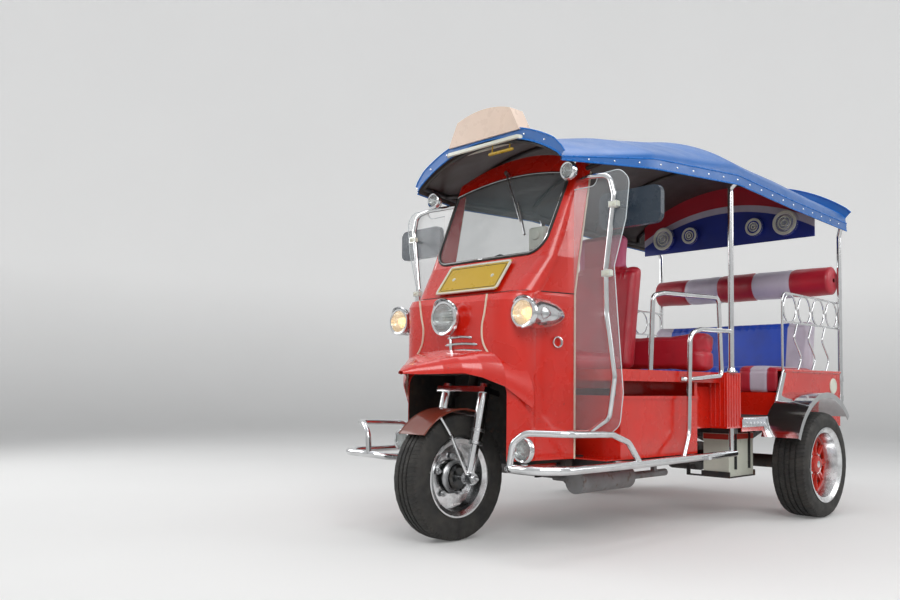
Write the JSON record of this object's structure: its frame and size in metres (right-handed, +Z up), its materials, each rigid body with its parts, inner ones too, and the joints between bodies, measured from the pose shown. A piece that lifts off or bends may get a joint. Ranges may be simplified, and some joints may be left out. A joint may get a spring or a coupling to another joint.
{
  "type": "auto rickshaw",
  "caption": "Open three-wheeled taxi with a raked front fork, a narrow cab nose, a rear bench in an open tub and a blue canvas roof on posts.",
  "frame": {"origin": "on the ground, under the middle of the overall width and length", "axes": "-Y to the front of the vehicle, +X to its left, +Z up"},
  "size_m": [1.62, 2.9175, 1.9619],
  "materials": {
    "red_paint": "glossy red paint",
    "black_paint": "satin black paint",
    "chrome": "bright chrome plate",
    "steel": "bare bright steel",
    "blue_canvas": "blue coated roof canvas",
    "glass": "clear laminated glass",
    "acrylic": "clear acrylic sheet",
    "lamp": "chrome lamp body with a clear lens",
    "amber": "amber lens",
    "red_lens": "red lens",
    "red_leather": "red leathercloth",
    "blue_leather": "blue leathercloth",
    "tyre": "black rubber",
    "rim_chrome": "polished rim",
    "rim_red": "red spoked rim with a polished lip",
    "engine": "cast alloy and rust brown pipe",
    "yellow_plate": "blank yellow plate",
    "cream": "cream lamp box",
    "battery": "white battery case with a red lid",
    "grey_board": "dark covered board with lamps"
  },
  "bodies": {
    "body": {"chassis_frame": "black_paint", "nose_shell": "red_paint", "arch_liner": "black_paint", "front_hood": "red_paint", "windscreen": "glass", "wiper": "black_paint", "notice_plate": "yellow_plate", "nose_lamp": "lamp", "side_headlamps": "lamp", "small_lamps": "lamp", "turn_lamps": "amber", "roof_canopy": "blue_canvas", "roof_frame": "black_paint", "roof_posts": "chrome", "roof_sign": "cream", "speaker_panel": "grey_board", "side_rails": "chrome", "screen_tubes": "chrome", "side_screens": "acrylic", "mirrors": "black_paint", "side_racks": "chrome", "rear_fenders": "chrome", "bolster": "red_leather", "cab_floor": "red_paint", "seat_shelf": "red_paint", "bulkhead": "red_paint", "rear_tub": "red_paint", "bench_cushion": "blue_leather", "bench_back": "blue_leather", "driver_seat_cushion": "red_leather", "driver_seat_back": "red_leather", "partition_pad": "red_leather", "engine_block": "engine", "battery": "battery", "tail_lamps": "red_lens", "rear_axle": "black_paint"},
    "fork": {"fork": "chrome", "handlebar": "chrome", "front_mudguard": "red_paint"},
    "front_wheel": {"front_tyre": "tyre", "front_rim": "rim_chrome"},
    "rear_wheel_left": {"rear_tyre_left": "tyre", "rear_rim_left": "rim_red"},
    "rear_wheel_right": {"rear_tyre_right": "tyre", "rear_rim_right": "rim_red"}
  },
  "joints": [
    {"name": "steering", "type": "hinge", "parent": "body", "child": "fork", "pos_m": [0, -1.0218, 0.74542], "axis": [0, 0.2419, 0.9703], "range_deg": [-36, 36]},
    {"name": "front_wheel_spin", "type": "hinge", "parent": "fork", "child": "front_wheel", "pos_m": [0, -1.17575, 0.2685], "axis": [1, 0, 0], "continuous": true},
    {"name": "rear_wheel_left_spin", "type": "hinge", "parent": "body", "child": "rear_wheel_left", "pos_m": [0.719, 0.72425, 0.2705], "axis": [1, 0, 0], "continuous": true},
    {"name": "rear_wheel_right_spin", "type": "hinge", "parent": "body", "child": "rear_wheel_right", "pos_m": [-0.719, 0.72425, 0.2705], "axis": [1, 0, 0], "continuous": true}
  ]
}
